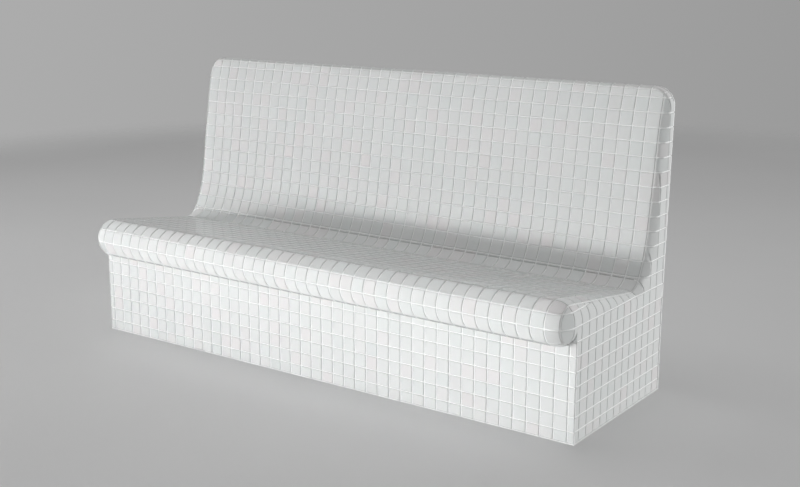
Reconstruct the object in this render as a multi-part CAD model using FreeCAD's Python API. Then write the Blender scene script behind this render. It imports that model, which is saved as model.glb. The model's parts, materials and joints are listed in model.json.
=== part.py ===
import FreeCAD, Part
import math
import os
from FreeCAD import Vector

# A mosaic-clad restaurant booth bench.
# The model is built with X along the bench, Y towards the rear and Z up. Its Y starts at the tiled
# front of the plinth and is moved to the middle of the bench when the pieces are written.
# All lengths are in millimetres and all angles in degrees.

# Tiling of the plinth, whose lowest row is cut at the floor
tile_pitch = 50.0
full_plinth_rows = 6
cut_row_height = 41.0

# Overall form
bench_length = 2150.0
body_height = 735.0
seat_rise = 131.0
seat_depth = 593.0
back_foot_depth = 132.0
nose_radius = 76.0
nose_setout = 4.0
seat_fall = 8.6
back_lean = 8.8

# Sweeps of the seat and back, as seen from the end
cove_radius = 72.0
lower_back_radius = 450.0
lower_back_angle = 21.2
top_roll_drop = 176.0
top_roll_radius = 950.0
crest_radius = 18.0
crest_flat = 21.0

# Roundings where the seat and back meet the ends
nose_end_reach = 60.0
nose_end_radius = 10.0
back_end_reach = 45.0
back_end_drop = 27.0
crest_corner_radius = 70.0
rounding_bands = 5
tongue_share = 0.1

# Layers, from the tiled face inwards
mosaic_thickness = 8.0
coat_thickness = 4.0
board_thickness = 12.0
core_cover = 18.0
facing_thickness = 9.0
ply_thickness = 18.0
floor_joint = 3.0
movement_joint = 4.0
cove_joint_rows = 2
bead_size = 5.0
bead_hollow_share = 0.3

# Frame of plywood ribs and softwood rails
rib_count = 6
rail_size = 45.0
frame_drop = 216.0
back_rail_height = 70.0
back_rail_rise = 240.0
window_inset = 75.0
window_web = 60.0
window_corner = 30.0

# Brackets and staples
angle_leg = 40.0
angle_width = 30.0
angle_steel = 2.5
angle_hole = 8.5
angle_hole_share = 0.62
staple_crown = 12.0
staple_wire = 1.6
staple_length = 45.0
staple_shares = (0.08, 0.8)

# Overrun of cuts, and angles
overrun = 60.0
right_angle = 90.0

# Sizes that follow from the ones above
half_length = bench_length / 2
plinth_height = cut_row_height + full_plinth_rows * tile_pitch
overall_height = plinth_height + body_height
seat_top = plinth_height + seat_rise
nose_overhang = nose_radius + nose_setout
plinth_depth = seat_depth - nose_overhang + back_foot_depth
board_face = mosaic_thickness + board_thickness
body_skin = mosaic_thickness + coat_thickness
frame_top = overall_height - frame_drop
deck_underside = plinth_height - ply_thickness


def point(y, z, x=0.0):
    return Vector(x, y, z)


def heading(angle):
    """Unit vector in the end view, at an angle above the horizontal."""
    return point(math.cos(math.radians(angle)), math.sin(math.radians(angle)))


def box(x_low, x_high, y_low, y_high, z_low, z_high):
    return Part.makeBox(x_high - x_low, y_high - y_low, z_high - z_low, Vector(x_low, y_low, z_low))


def prism(outline, x_low, x_high):
    """A flat outline in the end view, carried along the bench."""
    corners = [point(p.y, p.z, x_low) for p in outline]
    face = Part.Face(Part.makePolygon(corners + corners[:1]))
    return face.extrude(Vector(x_high - x_low, 0, 0))


def ellipse_drop(distance, reach, drop):
    """How far an end rounding has fallen at a distance from the end."""
    if distance >= reach:
        return 0.0
    return drop * (1 - math.sqrt(1 - ((reach - distance) / reach) ** 2))


# Seat and back lines in the end view
nose_centre = point(nose_radius - nose_overhang, seat_top - nose_radius)
seat_normal = heading(right_angle - seat_fall)
back_heading = heading(right_angle - back_lean)
back_normal = heading(2 * right_angle - back_lean)
seat_start = nose_centre + seat_normal * nose_radius
seat_run = seat_depth - nose_overhang - seat_start.y
seat_meets_back = seat_start + point(seat_run, -seat_run * math.tan(math.radians(seat_fall)))
roll_climb = overall_height - top_roll_drop - seat_meets_back.z
roll_start = seat_meets_back + back_heading * (roll_climb / math.cos(math.radians(back_lean)))
roll_centre = roll_start - back_normal * top_roll_radius


def seat_line(nose_drop, cove_drop):
    """Where the seat leaves the nose, and its fall, for a section that is lower than the full one."""
    radius = nose_radius - nose_drop
    target = seat_meets_back - seat_normal * cove_drop
    away = target - nose_centre
    fall = math.degrees(math.atan2(-away.z, away.y) + math.asin(radius / away.Length))
    return nose_centre + heading(right_angle - fall) * radius, fall


def cove_points(nose_drop, cove_drop, back_drop):
    """The five points of the two arcs that sweep the seat up into the back."""
    start, fall = seat_line(nose_drop, cove_drop)
    turn_low = right_angle - back_lean - lower_back_angle
    turn_high = right_angle - back_lean

    def sweep(radius, low, high):
        low = math.radians(low)
        high = math.radians(high)
        return point(math.sin(high) - math.sin(low), math.cos(low) - math.cos(high)) * radius

    tight = cove_radius + cove_drop
    wide = lower_back_radius + back_drop
    through = sweep(tight, -fall, turn_low) + sweep(wide, turn_low, turn_high)
    anchor = seat_meets_back - back_normal * back_drop
    across = heading(right_angle - fall)
    along = -(anchor - through - start).dot(across) / back_heading.dot(across)
    end = anchor + back_heading * along
    first = end - through
    middle_low = first + sweep(tight, -fall, (turn_low - fall) / 2)
    middle = first + sweep(tight, -fall, turn_low)
    middle_high = middle + sweep(wide, turn_low, (turn_low + turn_high) / 2)
    return first, middle_low, middle, middle_high, end


def crest_points(back_drop, crest_drop, layer):
    """The points of the roll at the top of the back and of the small arc over its crest."""
    roll = top_roll_radius - back_drop
    small = crest_radius - layer
    start = roll_start - back_normal * back_drop
    centre_z = overall_height - crest_drop - small
    rise = centre_z - roll_centre.z
    centre = point(roll_centre.y - math.sqrt((roll - small) ** 2 - rise ** 2), centre_z)
    towards = (centre - roll_centre).normalize()
    touch = roll_centre + towards * roll
    half_way = ((start - roll_centre).normalize() + towards).normalize()
    up = point(0, 1)
    top = centre + up * small
    over = centre + (towards + up).normalize() * small
    return start, roll_centre + half_way * roll, touch, over, top


# The rear leans from the plinth's top to the rear of the crest
rear_reach = crest_points(0, 0, 0)[4].y + crest_flat
rear_lean = math.degrees(math.atan((rear_reach - plinth_depth) / body_height))
middle_y = (rear_reach - nose_overhang) / 2


def rear_y(z, inset=0.0):
    """The rear of the bench at a height: upright on the plinth, leaning above it."""
    lean = math.radians(rear_lean)
    return plinth_depth + max(z - plinth_height, 0) * math.tan(lean) - inset / math.cos(lean)


def arc(first, middle, last, x):
    return Part.Arc(*[point(p.y, p.z, x) for p in (first, middle, last)]).toShape()


def line(first, last, x):
    return Part.makeLine(point(first.y, first.z, x), point(last.y, last.z, x))


def end_drops(distance, layer):
    """Falls of the nose, cove, back and crest at a distance in from the end of a layer."""
    nose_fall = nose_radius - nose_end_radius - layer
    nose = layer + ellipse_drop(distance, nose_end_reach - layer, nose_fall)
    back = layer + ellipse_drop(distance, back_end_reach - layer, back_end_drop - layer)
    corner = crest_corner_radius - layer
    crest = layer + ellipse_drop(distance, corner, corner)
    return nose, back, crest


def nose_section(x, nose_drop, cove_drop, tongue):
    """The round nose with a short tongue of seat behind it."""
    start, fall = seat_line(nose_drop, cove_drop)
    radius = nose_radius - nose_drop
    bottom = nose_centre + heading(-right_angle) * radius
    front = nose_centre + heading(2 * right_angle) * radius
    low_bend = nose_centre + heading(-right_angle - right_angle / 2) * radius
    high_bend = nose_centre + heading((3 * right_angle - fall) / 2) * radius
    tongue_top = point(tongue, start.z - (tongue - start.y) * math.tan(math.radians(fall)))
    tongue_low = point(tongue, bottom.z)
    return Part.Wire([
        arc(bottom, low_bend, front, x),
        arc(front, high_bend, start, x),
        line(start, tongue_top, x),
        line(tongue_top, tongue_low, x),
        line(tongue_low, bottom, x),
    ])


def body_section(x, drops, layer, rear_inset, tongue):
    """The seat, cove, back and crest above the plinth, closed at the rear and underneath."""
    nose_drop, back_drop, crest_drop = drops
    start, fall = seat_line(nose_drop, back_drop)
    tongue_top = point(tongue, start.z - (tongue - start.y) * math.tan(math.radians(fall)))
    cove = cove_points(nose_drop, back_drop, back_drop)
    crest = crest_points(back_drop, crest_drop, layer)
    rear_top = point(rear_y(crest[4].z, rear_inset), crest[4].z)
    rear_low = point(rear_y(plinth_height, rear_inset), plinth_height)
    front_low = point(layer, plinth_height)
    front_top = point(layer, nose_centre.z)
    return Part.Wire([
        line(front_low, front_top, x),
        line(front_top, tongue_top, x),
        line(tongue_top, cove[0], x),
        arc(cove[0], cove[1], cove[2], x),
        arc(cove[2], cove[3], cove[4], x),
        line(cove[4], crest[0], x),
        arc(crest[0], crest[1], crest[2], x),
        arc(crest[2], crest[3], crest[4], x),
        line(crest[4], rear_top, x),
        line(rear_top, rear_low, x),
        line(rear_low, front_low, x),
    ])


def upper_form(layer, rear_inset):
    """The whole form above the plinth, drawn in by a layer and by more at the rear."""
    end = half_length - layer
    tongue = (seat_depth - nose_overhang) * tongue_share
    reach = crest_corner_radius - layer
    steps = []
    for band in range(rounding_bands + 1):
        steps.append(reach * (1 - math.cos(math.pi / 2 * band / rounding_bands)))
    places = [(-end + step, step) for step in steps]
    places += [(end - step, step) for step in reversed(steps)]
    nose_wires = []
    body_wires = []
    for x, step in places:
        drops = end_drops(step, layer)
        nose_wires.append(nose_section(x, drops[0], drops[1], tongue))
        body_wires.append(body_section(x, drops, layer, rear_inset, tongue))
    nose = Part.makeLoft(nose_wires, True, True)
    body = Part.makeLoft(body_wires, True, True)
    plinth_block = box(-half_length - overrun, half_length + overrun, 0, rear_reach, 0, plinth_height)
    return body.fuse(nose).cut(plinth_block).removeSplitter()


def solids_of(shape):
    solids = shape.Solids
    return solids[0] if len(solids) == 1 else Part.makeCompound(solids)


def export(node, shape):
    moved = solids_of(shape).copy()
    moved.translate(Vector(0, -middle_y, 0))
    moved.exportStep(os.path.join("parts", node + ".step"))
    print(node, len(moved.Solids), "solids", round(moved.Volume), "mm3", moved.isValid())


def rear_slab(outer, inner):
    """The sheet between two insets from the leaning rear face."""
    top = overall_height + overrun
    corners = [
        point(rear_y(plinth_height, outer), plinth_height),
        point(rear_y(top, outer), top),
        point(rear_y(top, inner), top),
        point(rear_y(plinth_height, inner), plinth_height),
    ]
    return prism(corners, -half_length - overrun, half_length + overrun)


def facing_y(z, depth=0.0):
    """The plane in front of the back's frame, parallel to the front of the back."""
    lean = math.radians(back_lean)
    inset = body_skin + core_cover + depth
    return seat_meets_back.y + (z - seat_meets_back.z) * math.tan(lean) + inset / math.cos(lean)


def frame_outline(front_depth, bottom, top):
    """Outline of the space for the back's frame between two heights."""
    return [
        point(facing_y(bottom, front_depth), bottom),
        point(facing_y(top, front_depth), top),
        point(rear_y(top, board_face), top),
        point(rear_y(bottom, board_face), bottom),
    ]


# The movement joint that splits the seat from the back lies in the cove, in line with a row of joints
joint_height = plinth_height + cove_joint_rows * tile_pitch
cove_front = cove_points(0, 0, 0)[0].y


def behind_cove(z_low, z_high):
    """Everything from the front of the cove to the rear, between two heights."""
    over = half_length + overrun
    return box(-over, over, cove_front, rear_reach + overrun, z_low, z_high)


back_above = behind_cove(joint_height + movement_joint / 2, overall_height + overrun)
joint_slab = behind_cove(joint_height - movement_joint / 2, joint_height + movement_joint / 2)
core_above = behind_cove(joint_height, overall_height + overrun)

# Layers above the plinth
outer_form = upper_form(0.0, 0.0)
coated_form = upper_form(mosaic_thickness, mosaic_thickness)
core_form = upper_form(body_skin, mosaic_thickness)
rear_tiles = rear_slab(-overrun, mosaic_thickness)
rear_board_slab = rear_slab(mosaic_thickness, board_face)


def mosaic_shell():
    return outer_form.cut(rear_tiles).cut(coated_form)


def coat_shell():
    return coated_form.cut(core_form)


def foam_core():
    frame_space = prism(frame_outline(0, plinth_height, frame_top), -half_length, half_length)
    return core_form.cut(rear_board_slab).cut(frame_space)


# Plinth
inside_x = half_length - board_face
board_x = half_length - mosaic_thickness
rear_of_frame = plinth_depth - board_face
rear_of_boards = plinth_depth - mosaic_thickness


def plinth_mosaic(x_low, x_high, y_low, y_high):
    return box(x_low, x_high, y_low, y_high, floor_joint, plinth_height)


def plinth_board(x_low, x_high, y_low, y_high):
    return box(x_low, x_high, y_low, y_high, 0, plinth_height)


def floor_bead():
    """The bead of sealant that fills the joint between the lowest tiles and the floor."""
    outside = box(-half_length, half_length, 0, plinth_depth, 0, floor_joint)
    inside = box(-board_x, board_x, mosaic_thickness, rear_of_boards, 0, floor_joint)
    return outside.cut(inside)


def nose_bead():
    """The bead under the nose, a hollow quarter round between its tiles and the riser."""
    top = nose_centre.z - nose_radius
    reach = half_length - nose_end_reach
    corner = point(0, top, -reach)
    forward = point(-bead_size, top, -reach)
    down = point(0, top - bead_size, -reach)
    hollow = corner + (forward - corner + down - corner) * bead_hollow_share
    section = Part.Wire([
        Part.makeLine(corner, forward),
        Part.Arc(forward, hollow, down).toShape(),
        Part.makeLine(down, corner),
    ])
    return Part.Face(section).extrude(Vector(reach + reach, 0, 0))


# Frame
rib_pitch = (inside_x + inside_x - ply_thickness) / (rib_count - 1)
rib_places = [-inside_x + rib_pitch * rib for rib in range(rib_count)]
rail_low_y = board_face + rail_size
deck_rail_y = facing_y(deck_underside, facing_thickness)
rib_top = frame_top - ply_thickness


def rail(y_low, z_low):
    return box(-inside_x, inside_x, y_low, y_low + rail_size, z_low, z_low + rail_size)


def rails():
    """The four softwood rails, by name."""
    return {
        "front_sole_rail": rail(board_face, 0),
        "rear_sole_rail": rail(rear_of_frame - rail_size, 0),
        "front_deck_rail": rail(board_face, deck_underside - rail_size),
        "rear_deck_rail": rail(deck_rail_y - rail_size, deck_underside - rail_size),
    }


def back_rail():
    """The flat rail let into the rear edges of the fins."""
    low = plinth_height + back_rail_rise
    high = low + back_rail_height
    deep = board_face + ply_thickness
    corners = [
        point(rear_y(low, board_face), low),
        point(rear_y(high, board_face), high),
        point(rear_y(high, deep), high),
        point(rear_y(low, deep), low),
    ]
    return prism(corners, -inside_x, inside_x)


def seat_deck():
    corners = [
        point(board_face, deck_underside),
        point(facing_y(deck_underside, facing_thickness), deck_underside),
        point(facing_y(plinth_height, facing_thickness), plinth_height),
        point(board_face, plinth_height),
    ]
    return prism(corners, -inside_x, inside_x)


def facing_board():
    corners = [
        point(facing_y(plinth_height), plinth_height),
        point(facing_y(frame_top), frame_top),
        point(facing_y(frame_top, facing_thickness), frame_top),
        point(facing_y(plinth_height, facing_thickness), plinth_height),
    ]
    return prism(corners, -inside_x, inside_x)


def windows(x):
    """The two rounded openings in the bulkhead part of a rib, with a web between them."""
    low = point(board_face + window_inset, window_inset)
    high = point(deck_rail_y - window_inset, deck_underside - window_inset)
    width = (high.y - low.y - window_web) / 2
    openings = []
    for y in (low.y, high.y - width):
        opening = box(x - overrun, x + overrun, y, y + width, low.z, high.z)
        edges = [edge for edge in opening.Edges if edge.BoundBox.XLength > overrun]
        openings.append(opening.makeFillet(window_corner, edges))
    return Part.makeCompound(openings)


def frame_rib(x):
    """One plywood rib: the bulkhead of the plinth and the fin of the back in one piece."""
    corners = [
        point(board_face, 0),
        point(board_face, deck_underside),
        point(deck_rail_y, deck_underside),
        point(facing_y(rib_top, facing_thickness), rib_top),
        point(rear_y(rib_top, board_face), rib_top),
        point(rear_y(plinth_height, board_face), plinth_height),
        point(rear_of_frame, 0),
    ]
    rib = prism(corners, x, x + ply_thickness)
    for piece in rails().values():
        rib = rib.cut(piece)
    return rib.cut(back_rail()).cut(windows(x))


# Fixings
def staple_places():
    """The middle of each staple's crown, two on every rib."""
    depth = deck_rail_y - board_face
    places = []
    for x in rib_places:
        for share in staple_shares:
            places.append(Vector(x + ply_thickness / 2, board_face + depth * share, plinth_height))
    return places


def staple(place):
    """A wide staple driven flush through the deck, with its crown along the rib."""
    low = place.y - staple_crown / 2
    high = place.y + staple_crown / 2
    left = place.x - staple_wire / 2
    right = place.x + staple_wire / 2
    crown = box(left, right, low, high, place.z - staple_wire, place.z)
    front = box(left, right, low, low + staple_wire, place.z - staple_length, place.z)
    rear = box(left, right, high - staple_wire, high, place.z - staple_length, place.z)
    return crown.fuse([front, rear]).removeSplitter()


def angle_places():
    """The inner corner of each bracket, and the way that it faces along the bench."""
    places = []
    for number, x in enumerate(rib_places):
        last = number == rib_count - 1
        face = x if last else x + ply_thickness
        for y in (board_face + rail_size / 2, rear_of_frame - rail_size / 2):
            places.append((Vector(face, y, rail_size), -1 if last else 1))
    return places


def rib_angle(corner, way):
    """A steel bracket on a sole rail and against a rib, with a square hole in each leg."""
    y_low = corner.y - angle_width / 2
    y_high = y_low + angle_width
    far_x = corner.x + way * angle_leg
    near_x = corner.x + way * angle_steel
    flat = box(min(corner.x, far_x), max(corner.x, far_x), y_low, y_high,
               corner.z, corner.z + angle_steel)
    upright = box(min(corner.x, near_x), max(corner.x, near_x), y_low, y_high,
                  corner.z, corner.z + angle_leg)
    hole_y = corner.y - angle_hole / 2
    hole_out = angle_leg * angle_hole_share - angle_hole / 2
    down_x = corner.x + way * (hole_out + angle_hole / 2) - angle_hole / 2
    down = box(down_x, down_x + angle_hole, hole_y, hole_y + angle_hole,
               corner.z - overrun, corner.z + overrun)
    side_z = corner.z + hole_out
    side = box(corner.x - overrun, corner.x + overrun, hole_y, hole_y + angle_hole,
               side_z, side_z + angle_hole)
    return flat.fuse(upright).removeSplitter().cut([down, side])


def stapled(shape, staples):
    """A piece with slots for the staples that reach it."""
    near = [piece for piece in staples if piece.BoundBox.intersect(shape.BoundBox)]
    return shape.cut(near) if near else shape


def main():
    os.makedirs("parts", exist_ok=True)
    staples = [staple(place) for place in staple_places()]

    shell = mosaic_shell()
    export("seat_mosaic", shell.cut(back_above).cut(joint_slab))
    export("cove_joint", shell.common(joint_slab))
    export("back_mosaic", shell.common(back_above))
    coat = coat_shell()
    export("seat_coat", coat.cut(core_above))
    export("back_coat", coat.common(core_above))
    core = foam_core()
    export("seat_core", core.cut(core_above))
    export("back_core", core.common(core_above))
    export("back_rear_mosaic", outer_form.common(rear_tiles))
    export("back_rear_board", core_form.common(rear_board_slab))

    export("riser_mosaic", plinth_mosaic(-half_length, half_length, 0, mosaic_thickness))
    export("plinth_rear_mosaic", plinth_mosaic(-half_length, half_length, rear_of_boards, plinth_depth))
    export("plinth_left_mosaic", plinth_mosaic(-half_length, -board_x, mosaic_thickness, rear_of_boards))
    export("plinth_right_mosaic", plinth_mosaic(board_x, half_length, mosaic_thickness, rear_of_boards))
    export("riser_board", plinth_board(-board_x, board_x, mosaic_thickness, board_face))
    export("plinth_rear_board", plinth_board(-board_x, board_x, rear_of_frame, rear_of_boards))
    export("plinth_left_board", plinth_board(-board_x, -inside_x, board_face, rear_of_frame))
    export("plinth_right_board", plinth_board(inside_x, board_x, board_face, rear_of_frame))
    export("floor_bead", floor_bead())
    export("nose_bead", nose_bead())

    closer = frame_outline(0, plinth_height, frame_top)
    export("left_back_closer", prism(closer, body_skin - half_length, -inside_x))
    export("right_back_closer", prism(closer, inside_x, half_length - body_skin))
    export("back_facing_board", facing_board())
    export("back_rail", back_rail())
    export("back_top_board", prism(frame_outline(facing_thickness, rib_top, frame_top), -inside_x, inside_x))
    export("seat_deck", stapled(seat_deck(), staples))
    for name, shape in rails().items():
        export(name, stapled(shape, staples))
    for number, x in enumerate(rib_places):
        export("frame_rib_" + str(number + 1), stapled(frame_rib(x), staples))
    export("rib_angles", Part.makeCompound([rib_angle(corner, way) for corner, way in angle_places()]))
    export("deck_staples", Part.makeCompound(staples))


main()
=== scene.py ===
# %% [markdown]
# # A restaurant booth bench clad in mosaic tiles
#
# The real object is a masonry-like bench for a bar or a restaurant: a plywood frame, a foam core
# shaped to the body, a thin mortar coat, and a skin of 50 mm glazed tiles that runs over a round
# nose, along the seat, up through a cove and over the crest of the back. The ends are tiled too.
#
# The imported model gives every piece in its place, with the skin as a smooth shell. This lesson adds
# what the eye sees first: the single tiles, their softened edges, the sunken joints between them,
# the glaze and the light. The frame is loaded first and never moved.

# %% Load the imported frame
import json
import math

import bmesh
import bpy
import numpy as np
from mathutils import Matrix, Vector
from mathutils.geometry import tessellate_polygon


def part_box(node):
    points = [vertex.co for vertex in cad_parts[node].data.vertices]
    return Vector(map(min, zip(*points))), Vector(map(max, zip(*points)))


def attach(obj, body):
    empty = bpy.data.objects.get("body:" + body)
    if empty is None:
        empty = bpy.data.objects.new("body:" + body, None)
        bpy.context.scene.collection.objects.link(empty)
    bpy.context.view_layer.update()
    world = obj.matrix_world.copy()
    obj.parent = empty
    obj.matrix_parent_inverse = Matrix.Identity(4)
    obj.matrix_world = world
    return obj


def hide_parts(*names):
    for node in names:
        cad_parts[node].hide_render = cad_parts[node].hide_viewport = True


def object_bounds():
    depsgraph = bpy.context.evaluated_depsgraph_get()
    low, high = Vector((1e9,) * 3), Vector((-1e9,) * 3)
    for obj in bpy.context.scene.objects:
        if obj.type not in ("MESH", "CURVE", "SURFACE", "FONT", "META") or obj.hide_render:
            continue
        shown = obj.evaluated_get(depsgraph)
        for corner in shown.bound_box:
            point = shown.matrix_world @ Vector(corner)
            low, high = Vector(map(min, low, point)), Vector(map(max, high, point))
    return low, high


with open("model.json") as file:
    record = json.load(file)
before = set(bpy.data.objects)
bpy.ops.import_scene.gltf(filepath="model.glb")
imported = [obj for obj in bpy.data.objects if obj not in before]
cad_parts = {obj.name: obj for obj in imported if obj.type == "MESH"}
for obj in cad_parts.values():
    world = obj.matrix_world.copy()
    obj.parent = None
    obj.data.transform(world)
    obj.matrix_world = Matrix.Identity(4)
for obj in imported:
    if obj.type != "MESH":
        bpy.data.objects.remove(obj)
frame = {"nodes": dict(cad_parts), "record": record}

for name in ("Cube", "Light", "Camera"):
    if name in bpy.data.objects:
        bpy.data.objects.remove(bpy.data.objects[name])
cad_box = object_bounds()
print("nodes:", len(frame["nodes"]), "box:", [round(side, 4) for side in cad_box[1] - cad_box[0]])

# %% [markdown]
# ## Sizes
#
# Blender works in metres. Whatever the frame can tell is read from it: the length of the bench, the
# front and the rear of the plinth, its height and the thickness of the tiles. The radii of the form
# can't be read from a box, so they are written here, as they are in the construction drawing.
#
# The drawing's Y starts at the tiled front of the plinth. Everything below is worked out in that
# way, and each piece is shifted to where the frame is when it is dressed.

# %% Sizes from the frame
MM = 0.001
riser_low, riser_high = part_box("riser_mosaic")
rear_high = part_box("plinth_rear_mosaic")[1]
half_length = cad_box[1].x
front_y = riser_low.y
plinth_height = riser_high.z
floor_joint = riser_low.z
tile_thickness = riser_high.y - riser_low.y
plinth_depth = rear_high.y - front_y
overall_height = cad_box[1].z
body_height = overall_height - plinth_height
print("plinth:", round(plinth_depth, 4), "deep,", round(plinth_height, 4), "high")

# %% Sizes of the form
seat_rise = 131 * MM
seat_depth = 593 * MM
nose_radius = 76 * MM
nose_overhang = 80 * MM
seat_fall = 8.6
back_lean = 8.8
cove_radius = 72 * MM
lower_back_radius = 450 * MM
lower_back_angle = 21.2
top_roll_drop = 176 * MM
top_roll_radius = 950 * MM
crest_radius = 18 * MM
crest_flat = 21 * MM
nose_end_reach = 60 * MM
nose_end_radius = 10 * MM
back_end_reach = 45 * MM
back_end_drop = 27 * MM
crest_corner_radius = 70 * MM
radii = [round(radius / MM) for radius in (nose_radius, cove_radius, crest_radius)]
print("radii of nose, cove and crest, in mm:", radii)

# %% [markdown]
# ## Sizes of the tiling
#
# The tiles are set at a pitch of 50 mm. The first joint stands half a tile in from each end, 41 mm
# above the floor and 33 mm behind the face of the plinth. A joint is a shallow groove: the edges of
# the tiles are softened over almost 3 mm and fall to the grout.

# %% Sizes of the tiling
pitch = 50 * MM
first_joint = np.array([half_length - pitch / 2, 33 * MM, 41 * MM])
joint_width = 3.6 * MM
edge_width = 2.8 * MM
joint_depth = 3.2 * MM
columns = round(2 * first_joint[0] / pitch)
print("full columns of tiles:", columns)

# %% [markdown]
# ## The section of the form
#
# Seen from the end, the body is a chain of arcs and lines. Near each end of the bench the whole
# chain shrinks inwards, the nose most, so that the ends are rounded. One function therefore gives
# the section at any distance from the end: it returns points and outward directions, both in the
# end view, as rows of Y and Z.

# %% Directions and falls
tiny = 1e-9


def heading(angle):
    """Unit vectors in the end view, at angles in degrees above the horizontal."""
    turn = np.radians(angle)
    return np.stack([np.cos(turn), np.sin(turn)], axis=-1)


def unit(rows, least=tiny):
    """Rows of numbers scaled to a length of 1; rows shorter than the least length stay short."""
    return rows / np.maximum(np.linalg.norm(rows, axis=1), least)[:, None]


def fall_at(distance, reach, drop):
    """How far an end rounding has fallen at a distance from the end."""
    share = np.clip((reach - distance) / reach, 0, 1)
    return drop * (1 - math.sqrt(1 - share**2))


seat_top = plinth_height + seat_rise
nose_centre = np.array([nose_radius - nose_overhang, seat_top - nose_radius])
seat_up = heading(90 - seat_fall)
back_up = heading(90 - back_lean)
back_out = heading(180 - back_lean)
seat_start = nose_centre + seat_up * nose_radius
seat_run = seat_depth - nose_overhang - seat_start[0]
seat_meets_back = seat_start + seat_run * np.array([1, -math.tan(math.radians(seat_fall))])
roll_climb = overall_height - top_roll_drop - seat_meets_back[1]
roll_start = seat_meets_back + back_up * roll_climb / math.cos(math.radians(back_lean))
roll_centre = roll_start - back_out * top_roll_radius


def arc(centre, radius, start, end, steps, inward=False):
    """Points on an arc between two headings of its outward direction, and those directions."""
    angles = np.linspace(start, end, steps + 1)
    out = heading(angles)
    return centre + out * (-radius if inward else radius), out


print("the seat meets the back at:", [round(value, 4) for value in seat_meets_back.tolist()])

# %% The crest and the rear
def crest_centre(back_fall, crest_fall):
    """Middle of the small arc over the crest, which touches the roll from inside."""
    height = overall_height - crest_fall - crest_radius
    rise = height - roll_centre[1]
    reach = top_roll_radius - back_fall - crest_radius
    return np.array([roll_centre[0] - math.sqrt(reach**2 - rise**2), height])


def rear_y(height, inset=0):
    """The rear of the bench at a height: upright on the plinth, leaning above it."""
    rear_reach = crest_centre(0, 0)[0] + crest_flat
    slope = (rear_reach - plinth_depth) / body_height
    return plinth_depth + max(height - plinth_height, 0) * slope - inset * math.hypot(1, slope)


print("depth at the top, from the plinth's front:", round(rear_y(overall_height), 4))

# %% The section at a distance from the end
nose_steps, cove_steps, lower_back_steps, roll_steps, crest_steps = 30, 11, 6, 5, 8


def section(distance):
    """Points, outward directions and the share of the crest, from under the nose to the rear."""
    nose_fall = fall_at(distance, nose_end_reach, nose_radius - nose_end_radius)
    back_fall = fall_at(distance, back_end_reach, back_end_drop)
    crest_fall = fall_at(distance, crest_corner_radius, crest_corner_radius)
    radius = nose_radius - nose_fall

    away = seat_meets_back - seat_up * back_fall - nose_centre
    fall = math.degrees(math.atan2(-away[1], away[0]) + math.asin(radius / np.hypot(*away)))
    nose = arc(nose_centre, radius, 270, 90 - fall, nose_steps)

    low, high = 90 - back_lean - lower_back_angle, 90 - back_lean
    tight, wide = cove_radius + back_fall, lower_back_radius + back_fall
    cove = arc(np.zeros(2), tight, 90 - fall, 90 + low, cove_steps, inward=True)
    lower_back = arc(np.zeros(2), wide, 90 + low, 90 + high, lower_back_steps, inward=True)
    anchor = seat_meets_back - back_out * back_fall
    through = cove[0][-1] - cove[0][0] + lower_back[0][-1] - lower_back[0][0]
    up = heading(90 - fall)
    end = anchor - back_up * np.dot(anchor - through - nose[0][-1], up) / np.dot(back_up, up)
    lower_back = (lower_back[0] + end - lower_back[0][-1], lower_back[1])
    cove = (cove[0] + lower_back[0][0] - cove[0][-1], cove[1])

    centre = crest_centre(back_fall, crest_fall)
    toward = math.degrees(math.atan2(*(centre - roll_centre)[::-1]))
    roll = arc(roll_centre, top_roll_radius - back_fall, 180 - back_lean, toward, roll_steps)
    crest = arc(centre, crest_radius, toward, 90, crest_steps)
    under = nose_centre[1] - radius
    chain = [
        (np.array([[0, under], nose[0][0]]), heading(np.array([270, 270]))),
        nose, cove, lower_back, roll, crest,
        (np.array([crest[0][-1], [rear_y(crest[0][-1][1], tile_thickness), crest[0][-1][1]]]),
         heading(np.array([90, 90]))),
    ]
    starts_on_last = (1, 5, 6)
    points, outs, on_crest = [], [], []
    for number, (piece, out) in enumerate(chain):
        skip = 1 if number in starts_on_last else 0
        points.append(piece[skip:])
        outs.append(out[skip:])
        on_crest.append(np.full(len(piece) - skip, 1.0 if piece is crest[0] else 0.0))
    return np.concatenate(points), np.concatenate(outs), np.concatenate(on_crest)


full_section = section(crest_corner_radius)[0]
around = np.hypot(*np.diff(full_section, axis=0).T).sum()
print("stations in a section:", len(full_section), "length around:", round(around, 3))

# %% [markdown]
# ## A sheet and its joints
#
# The skin is made flat-thin first, as a sheet: points, the outward direction at each point, and
# faces. The joints are then cut into it. A joint is where one of three families of planes meets the
# sheet: upright planes across the bench, upright planes along it, and level planes. On any part of
# the form only the two families that cross it at a steep angle are used, so the lines of tiles on
# the front, the seat and the ends flow into each other, as they do on the real bench.
#
# A Boolean could cut the grooves, but it leaves ragged faces on a curved form. Here each face is
# split along four lines for each joint, and then the points between the lines are lowered.

# %% A sheet
class Sheet:
    """A thin skin: points, outward directions, crest marks, and faces as lists of points."""

    def __init__(self, points, outs, crest, faces):
        self.points = np.array(points, float)
        self.outs = np.array(outs, float)
        self.crest = np.array(crest, float)
        self.faces = faces

    def grow(self, points, outs, crest=0.0):
        """Adds points, and returns the number of the first one."""
        first, count = len(self.points), len(points)
        self.points = np.vstack([self.points, points])
        self.outs = np.vstack([self.outs, np.broadcast_to(outs, (count, 3))])
        self.crest = np.append(self.crest, np.broadcast_to(crest, count))
        return first


def sides_of(face):
    """The sides of a face, as pairs of points."""
    return zip(face, face[1:] + face[:1])


steep_limit, steep_fade, end_facing = 1.45, 0.25, 0.9


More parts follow.
